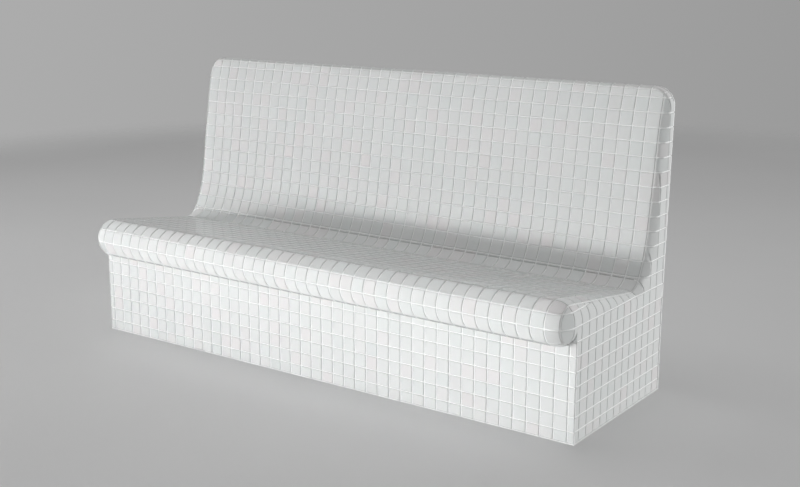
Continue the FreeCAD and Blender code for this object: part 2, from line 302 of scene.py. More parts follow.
def joint_share(sheet, axis):
    """1 where a family of joints is used, 0 where the form faces along its axis, else a fade."""
    size = np.abs(sheet.outs)
    others = np.delete(size, axis, axis=1).max(axis=1)
    share = np.clip((steep_limit - size[:, axis] / np.maximum(others, tiny)) / steep_fade, 0, 1)
    if axis == 1:
        share = np.maximum(share, sheet.crest * (size[:, 0] < end_facing))
    return share


least_steep = 1e-4


def along(sheet, axis, plane):
    """Distance along the skin from each point to a plane, with its sign."""
    steep = np.sqrt(np.maximum(1 - sheet.outs[:, axis] ** 2, least_steep))
    return (sheet.points[:, axis] - plane) / steep


level = Sheet([(0, 0, 0)], [(0, 0, 1)], [0], [])
shares = [float(joint_share(level, axis)[0]) for axis in range(3)]
print("families of joints on a level face:", shares)

# %% Split a sheet along a line
snap = 0.02 * MM


def split(sheet, over, used):
    """Splits the faces in use where a value on the points changes sign; the sheet stays closed."""
    over = np.where(np.abs(over) < snap, 0, over)
    sign = np.sign(over).astype(int).tolist()
    use = used.tolist()
    crossed = {}
    for face in sheet.faces:
        signs = [sign[p] for p in face]
        if min(signs) < 0 < max(signs) and any(use[p] for p in face):
            for a, b in sides_of(face):
                if sign[a] * sign[b] < 0:
                    crossed.setdefault((min(a, b), max(a, b)), None)
    if not crossed:
        return
    count = len(sheet.points)
    ends = np.array(list(crossed))
    share = over[ends[:, 0]] / (over[ends[:, 0]] - over[ends[:, 1]])
    for number, edge in enumerate(crossed):
        crossed[edge] = count + number

    def mix(rows):
        """What the new points carry, between what the ends of their edges carry."""
        return rows[ends[:, 0]] + (rows[ends[:, 1]] - rows[ends[:, 0]]) * share[:, None]

    sheet.grow(mix(sheet.points), unit(mix(sheet.outs)), mix(sheet.crest[:, None])[:, 0])
    sign += [0] * len(ends)
    use += (used[ends[:, 0]] | used[ends[:, 1]]).tolist()
    faces = []
    for face in sheet.faces:
        ring = []
        for a, b in sides_of(face):
            ring.append(a)
            new = crossed.get((min(a, b), max(a, b)))
            if new is not None:
                ring.append(new)
        signs = [sign[p] for p in ring]
        on_line = [place for place, value in enumerate(signs) if value == 0]
        both = min(signs) < 0 < max(signs)
        if both and len(on_line) == 2 and any(use[p] for p in face):
            first, second = on_line
            faces += [ring[first:second + 1], ring[second:] + ring[:first + 1]]
        else:
            faces.append(ring)
    sheet.faces = faces


corners = [(0, 0, 0), (1, 0, 0), (1, 1, 0), (0, 1, 0)]
square = Sheet(corners, [(0, 0, 1)] * 4, [0] * 4, [[0, 1, 2, 3]])
split(square, square.points[:, 0] - 0.5, np.ones(4, bool))
print("a square split in two:", square.faces)

# %% Cut all the joints
rim = 5 * MM
joint_lines = [side * offset for side in (-1, 1)
               for offset in (joint_width / 2, joint_width / 2 + edge_width)]


def from_rear(points):
    """How far points of the skin lie in front of its rear rim, where the rear's field begins."""
    return np.array([rear_y(height, tile_thickness) for height in points[:, 2]]) - points[:, 1]


def cut_joints(sheet):
    """Splits a sheet along both edges of each joint and of the softened tile edges beside it."""
    split(sheet, from_rear(sheet.points) - rim, np.ones(len(sheet.points), bool))
    for axis in range(3):
        low, high = sheet.points[:, axis].min(), sheet.points[:, axis].max()
        first = math.ceil((low - first_joint[axis] - joint_width) / pitch)
        last = math.floor((high - first_joint[axis] + joint_width) / pitch)
        for number in range(first, last + 1):
            plane = first_joint[axis] + number * pitch
            for line in joint_lines:
                split(sheet, along(sheet, axis, plane) - line, joint_share(sheet, axis) > 0)


print("lines beside each joint, in mm:", [round(line / MM, 2) for line in joint_lines])

# %% Lower the joints
TILE, EDGE, GROUT, HIDDEN = range(4)
grout_from, edge_from = 0.985, 0.02


def face_middles(rows, faces):
    """The mean over each face of what its points carry."""
    sizes = np.array([len(face) for face in faces])
    starts = np.concatenate([[0], np.cumsum(sizes)[:-1]])
    return np.add.reduceat(rows[np.concatenate(faces)], starts, axis=0) / sizes[:, None]


def depth_of(points, outs, crest):
    """How deep the relief is at points of the skin, as a share of the joint's depth."""
    holder = Sheet(points, outs, crest, [])
    depth = np.zeros(len(points))
    for axis in range(3):
        steps = np.round((holder.points[:, axis] - first_joint[axis]) / pitch)
        away = np.abs(along(holder, axis, first_joint[axis] + steps * pitch))
        ramp = np.clip((joint_width / 2 + edge_width - away) / edge_width, 0, 1)
        depth = np.maximum(depth, ramp * joint_share(holder, axis))
    return depth


def relief(sheet):
    """Lowered points, and the finish of each face, read at the face's middle."""
    depth = depth_of(sheet.points, sheet.outs, sheet.crest)
    rows = np.hstack([sheet.points, sheet.outs, sheet.crest[:, None]])
    middles = face_middles(rows, sheet.faces)
    at_middle = depth_of(middles[:, :3], unit(middles[:, 3:6]), middles[:, 6])
    finish = np.where(at_middle > grout_from, GROUT, np.where(at_middle > edge_from, EDGE, TILE))
    depth *= np.clip(from_rear(sheet.points) / rim, 0, 1)
    return depth * joint_depth, finish


print("joints are", joint_depth / MM, "mm deep, their soft edges", edge_width / MM, "mm wide")

# %% [markdown]
# ## The straight part of the skin
#
# Between the rounded ends, each column of tiles is the same. Only one is made: a sheet from joint
# to joint, bent along the section, with its grooves cut. A Geometry Nodes tree then repeats it
# along the bench and welds the copies where they meet, in the middle of a joint. An Array modifier
# could do the same; the tree is chosen because its inputs have names that a maker understands.

# %% One column of tiles
nudge = 0.01 * MM


def bent_grid(distances):
    """A sheet that runs towards the right end through sections at falling distances from it."""
    rows = [section(distance) for distance in distances]
    points, outs, crest = [], [], []
    for distance, (line, out, on_crest) in zip(distances, rows):
        x = np.full(len(line), half_length - distance)
        points.append(np.column_stack([x, line]))
        if distance == 0:
            outs.append(np.tile([1.0, 0.0, 0.0], (len(line), 1)))
        else:
            step = (section(distance + nudge)[0] - section(distance - nudge)[0]) / (2 * nudge)
            outs.append(unit(np.column_stack([(out * step).sum(axis=1), out])))
        crest.append(on_crest)
    stations, across = len(rows[0][0]), len(distances)
    corners = (0, stations, stations + 1, 1)
    faces = [[j * stations + i + corner for corner in corners]
             for j in range(across - 1) for i in range(stations - 1)]
    return Sheet(np.concatenate(points), np.concatenate(outs), np.concatenate(crest), faces)


end_columns = 1
straight_columns = columns - 2 * end_columns
cap_width = pitch / 2 + end_columns * pitch
column = bent_grid([cap_width, cap_width])
column.points[:, 0] = np.where(np.arange(len(column.points)) < len(full_section),
                               cap_width - half_length, cap_width - half_length + pitch)
cut_joints(column)
print("faces in one column:", len(column.faces))

# %% Helpers for meshes
def placed(name, data):
    """A new object in the scene."""
    thing = bpy.data.objects.new(name, data)
    bpy.context.scene.collection.objects.link(thing)
    return thing


def pulled(items, name, width=1, kind=np.float32):
    """One property of all the items of a mesh, as rows of numbers."""
    rows = np.zeros(len(items) * width, kind)
    items.foreach_get(name, rows)
    rows = rows.reshape(-1, width) if width > 1 else rows
    return rows.astype(float) if kind == np.float32 else rows


def store(mesh, name, domain, rows):
    """Keeps rows of numbers on a mesh as a named attribute."""
    rows = np.array(rows, np.float32)
    kind, field = ("FLOAT_VECTOR", "vector") if rows.ndim > 1 else ("FLOAT", "value")
    mesh.attributes.new(name, kind, domain).data.foreach_set(field, rows.ravel())


def faces_of(mesh):
    """The faces of a mesh, as lists of points."""
    return [list(face.vertices) for face in mesh.polygons]


# %% Helpers for node trees
def add(tree, kind, values=None, **settings):
    """Adds a node, sets its properties, and fills its inputs from values or from other nodes."""
    node = tree.nodes.new(kind)
    for name, setting in settings.items():
        setattr(node, name, setting)
    for name, value in (values or {}).items():
        socket = node.inputs[name]
        if isinstance(value, bpy.types.NodeSocket):
            tree.links.new(value, socket)
        else:
            socket.default_value = value
    return node


def calc(tree, operation, *terms):
    """A Math node; its terms are numbers or other nodes' outputs."""
    return add(tree, "ShaderNodeMath", dict(enumerate(terms)), operation=operation).outputs[0]


def new_group(name, kind, inputs, outputs):
    """A node group with named inputs and outputs, and its input and output nodes."""
    tree = bpy.data.node_groups.new(name, kind)
    for way, sockets in (("INPUT", inputs), ("OUTPUT", outputs)):
        for label, socket in sockets.items():
            tree.interface.new_socket(name=label, in_out=way, socket_type="NodeSocket" + socket)
    return tree, add(tree, "NodeGroupInput").outputs, add(tree, "NodeGroupOutput").inputs


def copied(tree, points, piece):
    """A copy of a piece on each point, as real geometry."""
    copies = add(tree, "GeometryNodeInstanceOnPoints", {"Points": points, "Instance": piece})
    return add(tree, "GeometryNodeRealizeInstances", {"Geometry": copies.outputs[0]}).outputs[0]


def hand_out(tree, result, geometry, material):
    """Gives geometry its material and leads it to the tree's output."""
    coated = add(tree, "GeometryNodeSetMaterial", {"Geometry": geometry, "Material": material})
    tree.links.new(coated.outputs[0], result["Geometry"])


def run_tree(tree, mesh, values):
    """Evaluates a tree on a mesh with its inputs set, and returns the result as a plain mesh."""
    holder = placed("holder", mesh)
    modifier = holder.modifiers.new(tree.name, "NODES")
    modifier.node_group = tree
    for item in tree.interface.items_tree:
        if item.in_out == "INPUT" and item.name in values:
            modifier[item.identifier] = values[item.name]
    graph = bpy.context.evaluated_depsgraph_get()
    made = bpy.data.meshes.new_from_object(holder.evaluated_get(graph))
    bpy.data.objects.remove(holder)
    return made


print("node groups so far:", len(bpy.data.node_groups))

# %% The tree that repeats the column
def column_repeater():
    """Sets copies of a column side by side and welds them where they meet."""
    tree, given, result = new_group("repeat the column", "GeometryNodeTree", {
        "Geometry": "Geometry", "Columns": "Int", "Pitch": "Float", "Weld": "Float",
        "Material": "Material"}, {"Geometry": "Geometry"})
    step = add(tree, "ShaderNodeCombineXYZ", {"X": given["Pitch"]}).outputs[0]
    line = add(tree, "GeometryNodeMeshLine", {"Count": given["Columns"], "Offset": step}).outputs[0]
    row = copied(tree, line, given["Geometry"])
    whole = add(tree, "GeometryNodeMergeByDistance", {"Geometry": row, "Distance": given["Weld"]})
    hand_out(tree, result, whole.outputs[0], given["Material"])
    return tree


def plain_mesh(name, sheet):
    """A sheet as a mesh that carries its outward directions and its crest mark."""
    mesh = bpy.data.meshes.new(name)
    mesh.from_pydata(sheet.points.tolist(), [], sheet.faces)
    store(mesh, "outward", "POINT", sheet.outs)
    store(mesh, "crest", "POINT", sheet.crest)
    return mesh


def sheet_from(mesh):
    """The sheet that a mesh carries."""
    outs = pulled(mesh.attributes["outward"].data, "vector", 3)
    crest = pulled(mesh.attributes["crest"].data, "value")
    return Sheet(pulled(mesh.vertices, "co", 3), outs, crest, faces_of(mesh))


glaze = bpy.data.materials.new("white_glaze")
weld = 0.01 * MM
straight = sheet_from(run_tree(column_repeater(), plain_mesh("column", column), {
    "Columns": straight_columns, "Pitch": pitch, "Weld": weld, "Material": glaze}))
print("straight skin:", len(straight.faces), "faces over", straight_columns, "columns")

# %% [markdown]
# ## The rounded ends
#
# The last column and a half at each end lie on the rounding. Sections are taken close together
# where the form turns fast, which is near the end. The end itself is flat: its outline is the last
# section, closed along the rear and the top of the plinth, and filled with triangles. A small patch
# of the front shows under the end of the nose, where the nose has shrunk away from it.
#
# Only the right end is made. The left one is its mirror image, with its faces turned over so that
# they still point outwards.

# %% The right end
end_sections, patch_sections = 15, 6


def end_sheet():
    """The rounded part of the skin and the flat end, as one sheet."""
    turns = np.radians(np.linspace(90, 0, end_sections))
    distances = [cap_width] + [crest_corner_radius * (1 - math.cos(turn)) for turn in turns]
    distances[-1] = 0
    sheet = bent_grid(distances)
    rear = rear_y(plinth_height, tile_thickness)
    corners = [[half_length, rear, plinth_height], [half_length, 0, plinth_height]]
    first = sheet.grow(corners, (1, 0, 0))
    outline = list(range(first - len(full_section), first + len(corners)))
    flat = [Vector((0, *sheet.points[p][1:])) for p in outline]
    for triangle in tessellate_polygon([flat]):
        a, b, c = (flat[corner] for corner in triangle)
        faces_right = (b - a).cross(c - a).x > 0
        turned = triangle if faces_right else triangle[::-1]
        sheet.faces.append([outline[corner] for corner in turned])
    return add_patch(sheet)


def add_patch(sheet):
    """Adds the patch of the front that shows under the end of the nose."""
    shown = nose_centre[1] - plinth_height
    share = 1 - (nose_radius - shown) / (nose_radius - nose_end_radius)
    reach = nose_end_reach * (1 - math.sqrt(1 - share**2))
    rows = []
    for distance in np.linspace(reach, 0, patch_sections):
        radius = nose_radius - fall_at(distance, nose_end_reach, nose_radius - nose_end_radius)
        x = half_length - distance
        rows += [[x, 0, plinth_height], [x, 0, nose_centre[1] - radius]]
    first = sheet.grow(rows, (0, -1, 0))
    for a in range(first, first + len(rows) - 2, 2):
        sheet.faces.append([a, a + 2, a + 3] if a == first else [a, a + 2, a + 3, a + 1])
    return sheet


def mirrored(sheet):
    """The other end: a sheet turned over from right to left."""
    flip = np.array([-1, 1, 1])
    turned_over = [face[::-1] for face in sheet.faces]
    return Sheet(sheet.points * flip, sheet.outs * flip, sheet.crest, turned_over)


right_end = end_sheet()
cut_joints(right_end)
print("faces in one end:", len(right_end.faces))

# %% [markdown]
# ## From sheet to pieces
#
# The three sheets are welded into one, and the joints are lowered. Where the seat meets the back,
# one row of joints isn't grout but soft sealant, because two pieces that carry weight move against
# each other there. The skin is parted along it: seat, sealant and back. Each is then given the
# thickness of the tiles by a second layer behind it, so that it is a closed solid.

# %% Weld the sheets and lower the joints
def welded(sheets):
    """One sheet from several, with the points that lie together made one."""
    points = np.concatenate([sheet.points for sheet in sheets])
    keys = np.round(points / weld).astype(np.int64)
    outs = np.concatenate([sheet.outs for sheet in sheets])
    facing = np.round(outs).astype(np.int64)
    first, place = np.unique(np.hstack([keys, facing]), axis=0, return_index=True,
                             return_inverse=True)[1:]
    place = place.ravel().tolist()
    faces, start = [], 0
    for sheet in sheets:
        for face in sheet.faces:
            ring = list(dict.fromkeys(place[start + p] for p in face))
            if len(ring) > 2:
                faces.append(ring)
        start += len(sheet.points)
    crest = np.concatenate([sheet.crest for sheet in sheets])
    return Sheet(points[first], outs[first], crest[first], faces)


skin = welded([straight, right_end, mirrored(right_end)])
lowering, finish = relief(skin)
print("skin:", len(skin.faces), "faces,", int((finish == GROUT).sum()), "of them grout")

# %% Part the skin at the movement joint
cove_front = full_section[nose_steps + 2, 0]
joints_below = 8
joint_height = first_joint[2] + joints_below * pitch
middles = face_middles(skin.points, skin.faces)
behind = middles[:, 1] > cove_front
in_joint = behind & (finish == GROUT) & (np.abs(middles[:, 2] - joint_height) < joint_width / 2)
in_back = behind & ~in_joint & (middles[:, 2] > joint_height)
in_seat = ~in_joint & ~in_back
print("faces in seat, joint and back:", int(in_seat.sum()), int(in_joint.sum()), int(in_back.sum()))


def tile_numbers(faces, finish):
    """Numbers the tiles: faces that share an edge and aren't grout belong to one tile."""
    parent = list(range(len(faces)))

    def root(face):
        """The face that stands for the tile of a face."""
        while parent[face] != face:
            parent[face] = parent[parent[face]]
            face = parent[face]
        return face

    seen = {}
    for number, face in enumerate(faces):
        if finish[number] == GROUT:
            continue
        for a, b in sides_of(face):
            edge = (min(a, b), max(a, b))
            if edge in seen:
                parent[root(number)] = root(seen[edge])
            seen[edge] = number
    roots = [root(number) for number in range(len(faces))]
    return np.unique(roots, return_inverse=True)[1]


# %% Give a part of the skin its thickness
def inward_steps(points, outs):
    """How far the second layer lies behind each point: straight behind it, but on the front corner
    of an end, where two flat faces meet, towards the inside of both, as in a mitre."""
    steps = outs * tile_thickness
    on_corner = (half_length - np.abs(points[:, 0]) < weld) & (np.abs(points[:, 1]) < weld)
    mitre = np.column_stack([np.sign(points[:, 0]), -np.ones(len(points)), np.zeros(len(points))])
    return np.where(on_corner[:, None], mitre * tile_thickness, steps)


def thickened(chosen):
    """A closed solid from chosen faces of the skin: outer layer, inner layer and walls between."""
    faces = [skin.faces[number] for number in np.flatnonzero(chosen)]
    kinds = finish[chosen].tolist()
    used = np.unique(np.concatenate(faces))
    renumber = np.full(len(skin.points), -1)
    renumber[used] = np.arange(len(used))
    count = len(used)
    outs = skin.outs[used]
    outer = skin.points[used] - outs * lowering[used][:, None]
    inner = skin.points[used] - inward_steps(skin.points[used], outs)
    faces = [renumber[face].tolist() for face in faces]
    tiles = tile_numbers(faces, np.array(kinds)).tolist()
    edges = {}
    for number, face in enumerate(faces):
        for a, b in sides_of(face):
            edges[(a, b)] = number
    walls = [(a, b, number) for (a, b), number in edges.items() if (b, a) not in edges]
    all_faces = faces + [[p + count for p in reversed(face)] for face in faces]
    all_faces += [[b, a, a + count, b + count] for a, b, number in walls]
    kinds += [HIDDEN] * (len(all_faces) - len(faces))
    tiles += tiles[:len(faces)] + [tiles[number] for a, b, number in walls]
    depth = np.concatenate([lowering[used], np.full(count, tile_thickness)])
    return {
        "points": np.concatenate([outer, inner]), "faces": all_faces, "finish": np.array(kinds),
        "outs": np.concatenate([outs, outs]), "depth": depth, "tiles": np.array(tiles),
    }


print("tiles are", round(tile_thickness / MM, 1), "mm thick")

# %% [markdown]
# ## Dressing a mesh
#
# Every tiled mesh is finished in the same way. A mosaic tile is a flat piece, so on a curve each
# row catches the light in its own way, and the rows of the nose step from white to grey. Its
# shading normals therefore lean towards the mean direction of the whole tile, except where one tile
# wraps round an end. The grout between keeps the smooth direction of the form. On a softened edge
# the normals turn from the tile's face towards the joint, so that one flat strip looks round. Each
# tile gets a number between 0 and 1, kept on its faces as "tint", which the glaze turns into a
# shade.

# %% Shading normals
flatness = 0.85
edge_out, edge_slope, least_slope = 0.4, 0.9, 1e-6
same_face, other_face = math.cos(math.radians(28)), math.cos(math.radians(50))


def flattened(outs, tiles, areas):
    """Directions that lean towards the mean direction of their tile where they lie close to it."""
    sums = np.column_stack([np.bincount(tiles, outs[:, axis] * areas) for axis in range(3)])
    mean = unit(sums)[tiles]
    near = ((outs * mean).sum(axis=1) - other_face) / (same_face - other_face)
    share = flatness * np.clip(near, 0, 1)[:, None]
    return unit(outs * (1 - share) + mean * share)


def corner_normals(mesh, data):
    """Shading normals for every corner: nearly flat on tiles, turning on the softened edges."""
    corners = pulled(mesh.loops, "vertex_index", kind=np.int32)
    sizes = pulled(mesh.polygons, "loop_total", kind=np.int32)
    areas = pulled(mesh.polygons, "area")
    owner = np.repeat(np.arange(len(sizes)), sizes)
    flat = pulled(mesh.polygons, "normal", 3)[owner]
    kind = data["finish"][owner]
    smooth = data["outs"][corners]
    weights = (areas / sizes)[owner] * (kind == TILE)
    lying = flattened(smooth, data["tiles"][owner], weights)
    out = np.where((kind <= EDGE)[:, None], lying, smooth)
    slope = unit(flat - out * (flat * out).sum(axis=1)[:, None], least_slope)
    deep = data["depth"][corners] > joint_depth / 2
    turned = out * edge_out + slope * edge_slope
    normals = np.where(((kind == EDGE) & deep)[:, None], turned, out)
    return unit(np.where((kind == HIDDEN)[:, None], flat, normals))


print("a tile's normals go", flatness, "of the way to flat")

# %% Dress the seat, the back and the joint between them
def dress(name, data, materials, seed, node):
    """A finished piece, moved to where the frame is, in the place of a node, whose imported part it
    hides.
    """
    mesh = bpy.data.meshes.new(name)
    points = data["points"] + np.array([0, front_y, 0])
    mesh.from_pydata(points.tolist(), [], data["faces"])
    for material in materials:
        mesh.materials.append(material)
    kinds = data["finish"]
    last = len(materials) - 1
    mesh.polygons.foreach_set("material_index", np.minimum(np.where(kinds >= GROUT, 1, 0), last))
    mesh.polygons.foreach_set("use_smooth", np.ones(len(kinds), bool))
    chance = np.random.default_rng(seed).random(int(data["tiles"].max()) + 1)
    store(mesh, "tint", "FACE", chance[data["tiles"]])
    mesh.update()
    mesh.normals_split_custom_set(corner_normals(mesh, data).tolist())
    piece = placed(name, mesh)
    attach(piece, "root")
    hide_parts(node)
    print(name, "triangles:", sum(len(face) - 2 for face in data["faces"]))


grout = bpy.data.materials.new("white_grout")
sealant = bpy.data.materials.new("white_sealant")
tiled = [glaze, grout]

dress("seat_tiling", thickened(in_seat), tiled, 11, "seat_mosaic")
dress("back_tiling", thickened(in_back), tiled, 12, "back_mosaic")
dress("cove_sealant", thickened(in_joint), [sealant], 13, "cove_joint")

# %% [markdown]
# ## Flat fields of tiles
#
# The plinth and the rear are flat. One loose tile is made, with a softened edge, and a second
# Geometry Nodes tree sets it out in rows and columns. Tiles at the rim of a field are cut: the tree
# works out where each tile starts and ends, and draws the corners of its copy there, so that a cut
# tile keeps an edge of the same softness. Scaling the copies would be simpler, but it would squash
# their edges too.

# %% One loose tile
def loose_tile():
    """A tile whose points hold their corner's direction; the tree gives it its real size."""
    rings = [(edge_width, 0), (0, joint_depth), (0, tile_thickness)]
    corners = [(-1, -1), (1, -1), (1, 1), (-1, 1)]
    points = [(u, 0, v) for ring in rings for u, v in corners]
    faces, kinds = [[0, 1, 2, 3]], [TILE]
    for ring in range(2):
        for side in range(4):
            a, b = ring * 4 + side, ring * 4 + (side + 1) % 4
            faces.append([a, a + 4, b + 4, b])
            kinds.append(EDGE if ring == 0 else HIDDEN)
    faces.append([11, 10, 9, 8])
    kinds.append(HIDDEN)
    mesh = bpy.data.meshes.new("loose tile")
    mesh.from_pydata(points, [], faces)
    store(mesh, "inset", "POINT", [inset for inset, _ in rings for _ in corners])
    store(mesh, "drop", "POINT", [drop for _, drop in rings for _ in corners])
    store(mesh, "finish", "FACE", kinds)
    return mesh


tile_mesh = loose_tile()
print("a loose tile has", len(tile_mesh.polygons), "faces")

# %% The tree that lays a flat field
def field_layer():
    """Sets a tile at each place of a field, stretched or cut to its joints and to the rim."""
    tree, given, result = new_group("lay a flat field", "GeometryNodeTree", {
        "Geometry": "Geometry", "Width": "Float", "Height": "Float", "First column": "Float",
        "First row": "Float", "Columns": "Int", "Rows": "Int", "Pitch": "Float", "Joint": "Float",
        "Material": "Material"}, {"Geometry": "Geometry"})
    index = add(tree, "GeometryNodeInputIndex").outputs[0]
    column = calc(tree, "MODULO", index, given["Columns"])
    row = calc(tree, "FLOOR", calc(tree, "DIVIDE", index, given["Columns"]))
    half_joint = calc(tree, "DIVIDE", given["Joint"], 2.0)

    def span(number, first, size):
        """Start and end of a tile on one axis, between two joints or at the rim."""
        joint = calc(tree, "MULTIPLY_ADD", number, given["Pitch"], first)
        before = calc(tree, "SUBTRACT", joint, given["Pitch"])
        start = calc(tree, "MAXIMUM", calc(tree, "ADD", before, half_joint), 0.0)
        end = calc(tree, "MINIMUM", calc(tree, "SUBTRACT", joint, half_joint), size)
        middle = calc(tree, "MULTIPLY", calc(tree, "ADD", start, end), 0.5)
        return middle, calc(tree, "MULTIPLY", calc(tree, "SUBTRACT", end, start), 0.5)

    middle_u, half_u = span(column, given["First column"], given["Width"])
    middle_v, half_v = span(row, given["First row"], given["Height"])
    count = calc(tree, "MULTIPLY", given["Columns"], given["Rows"])
    cloud = add(tree, "GeometryNodePoints", {"Count": count}).outputs[0]
    for name, u, v in (("middle", middle_u, middle_v), ("half", half_u, half_v)):
        vector = add(tree, "ShaderNodeCombineXYZ", {"X": u, "Z": v}).outputs[0]
        cloud = add(tree, "GeometryNodeStoreNamedAttribute",
                    {"Geometry": cloud, "Name": name, "Value": vector},
                    data_type="FLOAT_VECTOR", domain="POINT").outputs[0]
    tiles = copied(tree, cloud, given["Geometry"])

    def named(name, kind):
        """What a point carries under a name."""
        kept = add(tree, "GeometryNodeInputNamedAttribute", {"Name": name}, data_type=kind)
        return kept.outputs[0]

    def parts(vector):
        """The three numbers of a vector."""
        return add(tree, "ShaderNodeSeparateXYZ", {"Vector": vector}).outputs

    corner = parts(add(tree, "GeometryNodeInputPosition").outputs[0])
    middle, half = parts(named("middle", "FLOAT_VECTOR")), parts(named("half", "FLOAT_VECTOR"))
    inset = named("inset", "FLOAT")
    place = [calc(tree, "MULTIPLY_ADD", corner[axis], calc(tree, "SUBTRACT", half[axis], inset),
                  middle[axis]) for axis in ("X", "Z")]
    where = add(tree, "ShaderNodeCombineXYZ",
                {"X": place[0], "Y": named("drop", "FLOAT"), "Z": place[1]}).outputs[0]
    laid = add(tree, "GeometryNodeSetPosition", {"Geometry": tiles, "Position": where})
    hand_out(tree, result, laid.outputs[0], given["Material"])
    return tree


field_tree = field_layer()
print("nodes that lay a field:", len(field_tree.nodes))

# %% [markdown]
# A field is laid in its own flat space: width along X, height along Z, and depth into the wall
# along Y. Then it is stood where it belongs, by the directions of its width, depth and height and
# by its lower left corner. The grout is a slab between the tiles, a little lower than their faces.

# %% Lay a field and bed it in grout
def laid_tiles(width, height, first_column, first_row, field_columns, rows):
    """The tiles of a field, as the data of a mesh."""
    made = run_tree(field_tree, tile_mesh, {
        "Width": width, "Height": height, "First column": first_column, "First row": first_row,
        "Columns": field_columns, "Rows": rows, "Pitch": pitch, "Joint": joint_width,
        "Material": glaze})
    return {
        "points": pulled(made.vertices, "co", 3), "faces": faces_of(made),
        "finish": np.round(pulled(made.attributes["finish"].data, "value")).astype(int),
        "depth": pulled(made.attributes["drop"].data, "value"),
        "tiles": np.arange(len(made.polygons)) // len(tile_mesh.polygons),
    }


def slab(width, height, recess):
    """The grout between the tiles of a field, drawn in where its sides are seen."""
    points = np.array([(x, y, z) for x in (recess, width - recess)
                       for y in (joint_depth, tile_thickness) for z in (0, height)], float)
    faces = [[0, 4, 5, 1], [2, 3, 7, 6], [0, 1, 3, 2], [4, 6, 7, 5], [1, 5, 7, 3], [0, 2, 6, 4]]
    return {"points": points, "faces": faces, "finish": np.full(len(faces), GROUT),
            "depth": np.zeros(len(points)), "tiles": np.zeros(len(faces), int)}


def joined(first, second):
    """One mesh's data from two."""
    shift = len(first["points"])
    both = {name: np.concatenate([first[name], second[name]])
            for name in ("points", "finish", "depth")}
    both["faces"] = first["faces"] + [[p + shift for p in face] for face in second["faces"]]
    both["tiles"] = np.concatenate([first["tiles"], second["tiles"] + first["tiles"].max() + 1])
    return both


def stood(data, across, depth, up, corner):
    """Stands a field where it belongs, and turns its faces over if that mirrors it."""
    axes = np.array([across, depth, up], float)
    data["points"] = data["points"] @ axes + np.array(corner)
    if np.linalg.det(axes) < 0:
        data["faces"] = [face[::-1] for face in data["faces"]]
    data["outs"] = np.tile(-axes[1], (len(data["points"]), 1))
    return data


print("the grout of a field lies", joint_depth / MM, "mm behind its tiles' faces")

# %% The plinth
rows_up = 7
field_height = plinth_height - floor_joint
first_row = first_joint[2] - floor_joint
first_column = half_length - first_joint[0]
end_depth = plinth_depth - 2 * tile_thickness
end_columns_laid = 13
long_field = (2 * half_length, first_column, columns + 2, joint_depth)
end_field = (end_depth, first_joint[1] - tile_thickness, end_columns_laid, 0)
fields = {
    "riser": (long_field, (1, 0, 0), (0, 1, 0), (-half_length, 0, floor_joint)),
    "plinth_rear": (long_field, (-1, 0, 0), (0, -1, 0), (half_length, plinth_depth, floor_joint)),
    "plinth_right": (end_field, (0, 1, 0), (-1, 0, 0), (half_length, tile_thickness, floor_joint)),
    "plinth_left": (end_field, (0, 1, 0), (1, 0, 0), (-half_length, tile_thickness, floor_joint)),
}
for seed, (name, (sizes, across, depth, corner)) in enumerate(fields.items(), start=21):
    width, first, number, recess = sizes
    tiles = laid_tiles(width, field_height, first, first_row, number, rows_up)
    field = joined(tiles, slab(width, field_height, recess))
    dress(name + "_tiling", stood(field, across, depth, (0, 0, 1), corner), tiled, seed,
          name + "_mosaic")

# %% [markdown]
# The rear of the back leans a little and has two round top corners. Its field is laid as a
# rectangle and the corners are then cut: each of a fan of planes, all touching the corner's circle,
# trims what lies outside it and closes the tiles that it cuts. This is how a setter nips tiles to a
# curve.

# %% Trim a field by planes
def trimmed(data, cuts):
    """Cuts a mesh's data by planes and closes what they open."""
    mesh = bpy.data.meshes.new("trim")
    mesh.from_pydata(data["points"].tolist(), [], data["faces"])
    work = bmesh.new()
    work.from_mesh(mesh)
    kind = work.faces.layers.int.new("kind")
    tile = work.faces.layers.int.new("tile")
    depth = work.verts.layers.float.new("depth")
    for face, finish, number in zip(work.faces, data["finish"].tolist(), data["tiles"].tolist()):
        face[kind], face[tile] = finish, number
    for point, value in zip(work.verts, data["depth"].tolist()):
        point[depth] = value
    for place, outward in cuts:
        everything = list(work.verts) + list(work.edges) + list(work.faces)
        made = bmesh.ops.bisect_plane(work, geom=everything, dist=weld, plane_co=place,
                                      plane_no=outward, clear_outer=True)
        opened = [item for item in made["geom_cut"] if isinstance(item, bmesh.types.BMEdge)]
        for face in bmesh.ops.holes_fill(work, edges=opened)["faces"]:
            face.normal_update()
            if face.normal.dot(Vector(outward)) < 0:
                face.normal_flip()
            beside = [other for edge in face.edges for other in edge.link_faces if other != face]
            face[kind], face[tile] = HIDDEN, beside[0][tile]
    work.verts.index_update()
    cut = {
        "points": np.array([point.co[:] for point in work.verts]),
        "faces": [[point.index for point in face.verts] for face in work.faces],
        "finish": np.array([face[kind] for face in work.faces]),
        "tiles": np.array([face[tile] for face in work.faces]),
        "depth": np.array([point[depth] for point in work.verts]),
    }
    work.free()
    bpy.data.meshes.remove(mesh)
    return cut


halved = trimmed(slab(pitch, pitch, 0), [((pitch / 2, 0, 0), (1, 0, 0))])
print("a slab cut in half has", len(halved["faces"]), "faces")

